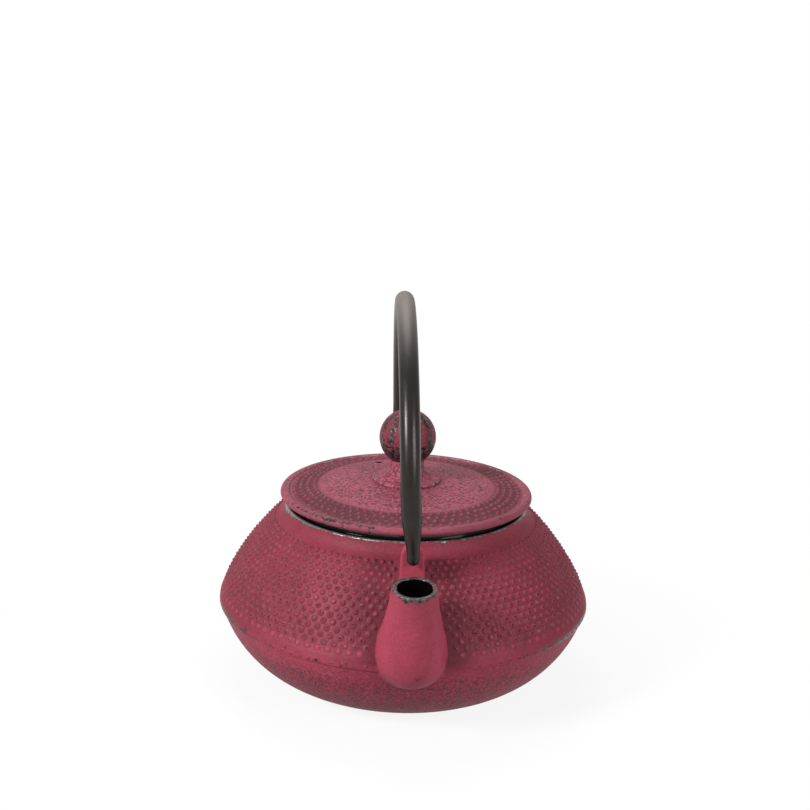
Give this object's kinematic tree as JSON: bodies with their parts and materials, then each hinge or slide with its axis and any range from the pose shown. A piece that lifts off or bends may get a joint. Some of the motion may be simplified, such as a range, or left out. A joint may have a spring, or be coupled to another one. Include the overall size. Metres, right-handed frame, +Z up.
{
  "type": "cast iron teapot",
  "caption": "Low round cast iron teapot with a hobnail shoulder, short upright spout, knobbed lid, swinging tube bail and lift-out steel infuser.",
  "frame": {"origin": "centre of the flat base on the surface the pot stands on", "axes": "+Z up through the lid knob, -Y the way the spout points, +X to the right seen from the spout"},
  "size_m": [0.164, 0.1792, 0.172],
  "materials": {
    "painted_iron": "matt raspberry paint over cast iron, rubbed through to dark iron on edges and dot tips, black enamel inside",
    "black_steel": "satin black-brown coating on steel tube",
    "plain_steel": "plain turned steel",
    "stainless": "pressed stainless sheet, fine brushed"
  },
  "bodies": {
    "pot": {"pot_body": "painted_iron"},
    "infuser": {"infuser_rim": "stainless", "infuser_wall": "stainless", "infuser_bottom": "stainless", "infuser_hem": "stainless"},
    "lid": {"lid": "painted_iron", "knob_seat": "painted_iron", "knob_ball": "painted_iron", "knob_stud": "plain_steel", "stud_washer": "plain_steel"},
    "bail": {"bail_tube": "black_steel", "front_hook": "black_steel", "rear_hook": "black_steel"}
  },
  "joints": [
    {"name": "bail_swing", "type": "hinge", "parent": "pot", "child": "bail", "pos_m": [0, 0, 0.078], "axis": [0, 1, 0], "range_deg": [-108, 112]},
    {"name": "infuser_lift", "type": "slide", "parent": "pot", "child": "infuser", "axis": [0, 0, 1], "range_m": [0, 0.0398]},
    {"name": "lid_lift", "type": "slide", "parent": "infuser", "child": "lid", "axis": [0, 0, 1], "range_m": [0, 0.04]}
  ]
}
